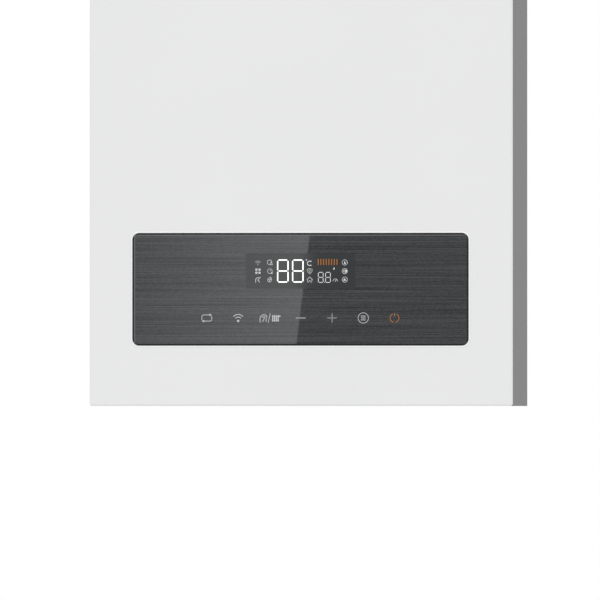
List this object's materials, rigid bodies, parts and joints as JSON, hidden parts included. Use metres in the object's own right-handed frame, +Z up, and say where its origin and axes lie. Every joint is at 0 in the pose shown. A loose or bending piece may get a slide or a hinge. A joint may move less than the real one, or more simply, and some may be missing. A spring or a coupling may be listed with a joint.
{
  "type": "combi boiler",
  "caption": "Wall-hung gas combi boiler with painted casing, glass touch panel, room-sealed burner chamber, fan and water circuit.",
  "frame": {"origin": "on the wall plane, at mid width, level with the lower edge of the casing, at the foot that rests on the wall", "axes": "+X to the right seen from the front, +Y into the wall, +Z up"},
  "size_m": [0.42, 0.3218, 0.776],
  "materials": {
    "white_paint": "satin white powder coat",
    "grey_paint": "satin mid grey powder coat",
    "bezel_plastic": "glossy white plastic",
    "panel_glass": "dark back-printed touch glass",
    "box_plastic": "textured dark grey plastic",
    "circuit_board": "green solder mask",
    "zinc_sheet": "galvanised sheet",
    "zinc_screws": "zinc plated",
    "aluminised_sheet": "aluminised sheet",
    "cast_aluminium": "die cast",
    "stainless": "stainless steel",
    "copper": "bright copper",
    "fin_copper": "tinned copper fins",
    "brass": "turned brass",
    "fibre_board": "ceramic fibre board",
    "white_ceramic": "glazed ceramic",
    "black_rubber": "silicone rubber",
    "grey_rubber": "foam gasket",
    "clear_glass": "clear heat-proof glass",
    "red_paint": "red vessel paint",
    "cast_iron_grey": "painted cast iron",
    "motor_paint": "dark cast aluminium",
    "black_plastic": "glass-filled plastic",
    "grey_plastic": "glass-filled plastic",
    "red_plastic": "moulded knob",
    "blue_plastic": "moulded knob",
    "plastic_wheel": "natural acetal"
  },
  "bodies": {
    "chassis": {"left_side_panel": "grey_paint", "right_side_panel": "grey_paint", "top_plate": "grey_paint", "back_frame": "zinc_sheet", "bottom_tray": "zinc_sheet", "wall_bracket": "zinc_sheet", "case_fixings": "zinc_screws", "flue_collar": "cast_aluminium", "flue_seal": "black_rubber", "chamber_box": "aluminised_sheet", "burner_frame": "stainless", "burner_ramps": "stainless", "gas_manifold": "cast_aluminium", "combustion_shell": "aluminised_sheet", "insulation_boards": "fibre_board", "spark_electrodes": "white_ceramic", "heat_exchanger_core": "fin_copper", "heat_exchanger_tubes": "copper", "flue_hood": "aluminised_sheet", "fan_housing": "aluminised_sheet", "fan_motor": "stainless", "pressure_switch": "black_plastic", "expansion_vessel": "red_paint", "vessel_hose": "black_rubber", "pump_body": "cast_iron_grey", "pump_motor": "motor_paint", "air_vent": "brass", "return_block": "brass", "flow_block": "brass", "diverter_motor": "black_plastic", "relief_valve": "brass", "cold_water_block": "brass", "hot_water_elbow": "brass", "plate_heat_exchanger": "stainless", "gas_valve": "cast_aluminium", "gas_pipe": "copper", "return_riser": "copper", "supply_riser": "copper", "pipe_fittings": "brass", "pipe_connections": "brass", "cable_gland": "black_plastic"},
    "cover": {"front_cover": "white_paint", "window_bezel": "bezel_plastic", "cover_screws": "zinc_screws"},
    "control_box": {"control_box_base": "box_plastic", "control_box_lid": "box_plastic", "touch_glass": "panel_glass", "display_board": "circuit_board", "main_board": "circuit_board"},
    "burner_lid": {"chamber_lid": "aluminised_sheet", "lid_gasket": "grey_rubber", "lid_screws": "zinc_screws", "sight_glass": "clear_glass"},
    "fan_wheel": {"fan_impeller": "cast_aluminium"},
    "pump_wheel": {"pump_rotor": "stainless"},
    "vent_screw_cap": {"vent_cap": "black_plastic"},
    "valve_stem": {"diverter_stem": "stainless"},
    "turbine": {"flow_turbine": "plastic_wheel"},
    "filling_handle": {"filling_knob": "blue_plastic"},
    "relief_handle": {"relief_knob": "red_plastic"}
  },
  "joints": [
    {"name": "cover_pull", "type": "slide", "parent": "chassis", "child": "cover", "axis": [0, -1, 0], "range_m": [0, 0.45]},
    {"name": "control_box_tilt", "type": "hinge", "parent": "chassis", "child": "control_box", "pos_m": [0, -0.311, 0.056], "axis": [1, 0, 0], "range_deg": [0, 90]},
    {"name": "burner_lid_pull", "type": "slide", "parent": "chassis", "child": "burner_lid", "axis": [0, -1, 0], "range_m": [0, 0.225]},
    {"name": "fan_spin", "type": "hinge", "parent": "chassis", "child": "fan_wheel", "pos_m": [-0.026, -0.19, 0.655], "axis": [0, 1, 0], "continuous": true},
    {"name": "pump_spin", "type": "hinge", "parent": "chassis", "child": "pump_wheel", "pos_m": [0.136, -0.15, 0.135], "axis": [0, 1, 0], "continuous": true},
    {"name": "turbine_spin", "type": "hinge", "parent": "chassis", "child": "turbine", "pos_m": [0.066, -0.105, 0.077], "axis": [0, 0, 1], "continuous": true},
    {"name": "diverter_shift", "type": "slide", "parent": "chassis", "child": "valve_stem", "axis": [0, 0, 1], "range_m": [0, 0.008]},
    {"name": "vent_cap_turn", "type": "hinge", "parent": "chassis", "child": "vent_screw_cap", "pos_m": [0.1, -0.117, 0.225], "axis": [0, 0, 1], "range_deg": [0, 270]},
    {"name": "filling_knob_turn", "type": "hinge", "parent": "chassis", "child": "filling_handle", "pos_m": [0.101, -0.105, 0.03], "axis": [0, 0, 1], "range_deg": [0, 270]},
    {"name": "relief_knob_turn", "type": "hinge", "parent": "chassis", "child": "relief_handle", "pos_m": [-0.1, -0.17, 0.073], "axis": [0, -1, 0], "range_deg": [0, 90]}
  ],
  "couplings": [
    {"joint": "control_box_tilt", "follows": "cover_pull", "rad_per_m": 3.4906},
    {"joint": "burner_lid_pull", "follows": "cover_pull", "ratio": 0.5}
  ]
}
